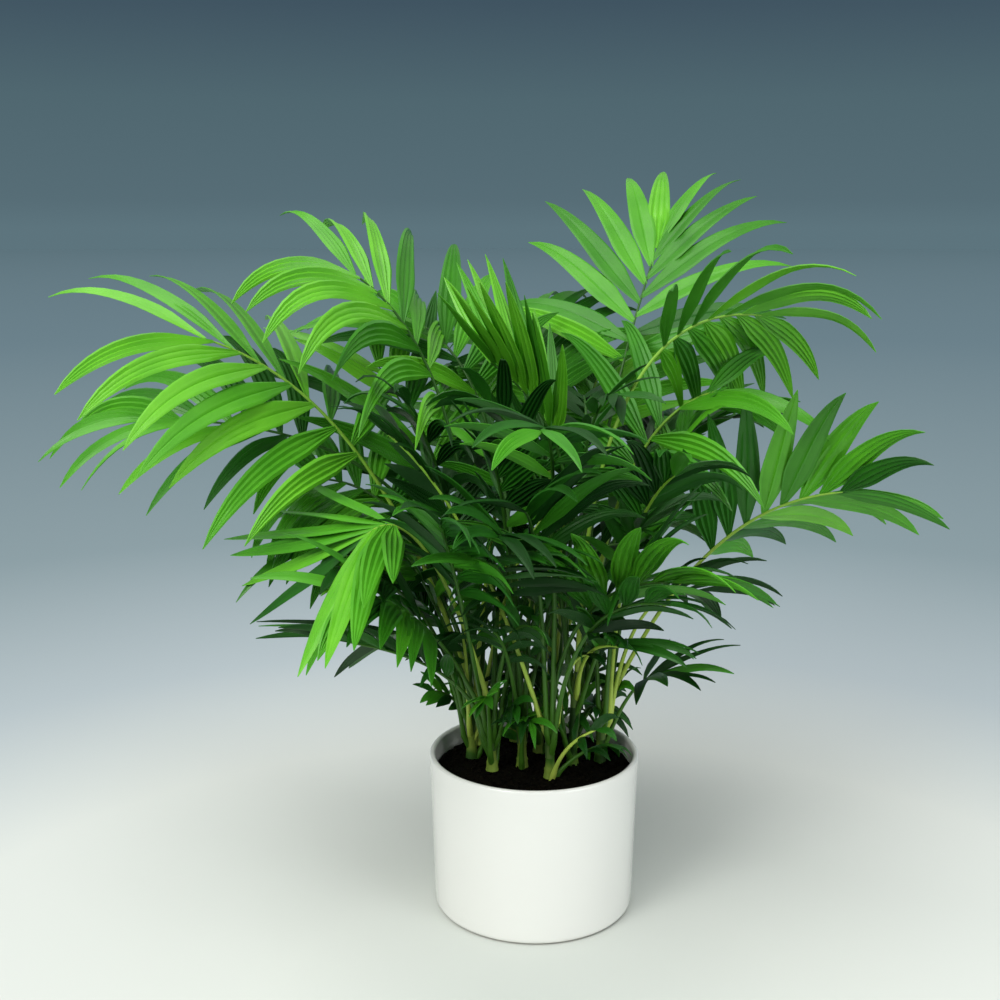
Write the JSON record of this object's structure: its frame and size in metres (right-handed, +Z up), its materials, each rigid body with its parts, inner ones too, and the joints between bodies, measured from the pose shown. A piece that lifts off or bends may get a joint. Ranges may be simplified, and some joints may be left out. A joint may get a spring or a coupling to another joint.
{
  "type": "parlour palm with pot",
  "caption": "Parlour palm: a clump of thin canes with feathered, arching fronds, growing in a round white glazed pot filled with soil.",
  "frame": {"origin": "middle of the pot's flat underside, on the ground", "axes": "+Z up along the pot's axis, +X to the right and -Y towards the viewer of the picture"},
  "size_m": [0.5969, 0.4553, 0.4956],
  "materials": {
    "white_glaze": "smooth glossy off-white glaze",
    "dark_soil": "crumbly dark peat and bark potting soil, matt",
    "cane_green": "thin green canes ringed with leaf scars, half matt",
    "bright_leaf": "fresh light green leaflets, pleated lengthwise, half gloss",
    "deep_leaf": "older deep green leaflets, pleated lengthwise, half gloss"
  },
  "bodies": {
    "root": {"frond_core_1": "deep_leaf", "frond_core_2": "deep_leaf", "frond_core_3": "deep_leaf", "frond_core_4": "deep_leaf", "frond_core_5": "deep_leaf", "frond_front_1": "deep_leaf", "frond_front_2": "deep_leaf", "frond_front_3": "deep_leaf", "frond_front_4": "deep_leaf", "frond_front_5": "deep_leaf", "frond_front_6": "deep_leaf", "frond_high_1": "bright_leaf", "frond_high_2": "bright_leaf", "frond_high_3": "bright_leaf", "frond_high_4": "bright_leaf", "frond_high_5": "bright_leaf", "frond_left_drop": "bright_leaf", "frond_left_far": "bright_leaf", "frond_left_low": "bright_leaf", "frond_left_mid": "deep_leaf", "frond_left_small": "bright_leaf", "frond_left_up": "bright_leaf", "frond_low_1": "deep_leaf", "frond_low_2": "deep_leaf", "frond_low_3": "deep_leaf", "frond_low_4": "deep_leaf", "frond_low_5": "deep_leaf", "frond_low_6": "deep_leaf", "frond_low_7": "deep_leaf", "frond_low_8": "deep_leaf", "frond_low_9": "deep_leaf", "frond_mid_1": "deep_leaf", "frond_mid_2": "deep_leaf", "frond_mid_3": "deep_leaf", "frond_mid_4": "bright_leaf", "frond_mid_5": "deep_leaf", "frond_mid_6": "bright_leaf", "frond_mid_7": "deep_leaf", "frond_middle_fan": "deep_leaf", "frond_right_arch": "bright_leaf", "frond_right_low": "deep_leaf", "frond_right_small": "deep_leaf", "frond_right_top": "bright_leaf", "pot": "white_glaze", "soil": "dark_soil", "stem_left_back": "cane_green", "stem_left_front": "cane_green", "stem_left_low": "cane_green", "stem_middle": "cane_green", "stem_middle_back": "cane_green", "stem_middle_front": "cane_green", "stem_middle_left": "cane_green", "stem_right": "cane_green", "stem_right_back": "cane_green", "stem_right_front": "cane_green", "stem_right_low": "cane_green"}
  },
  "joints": []
}
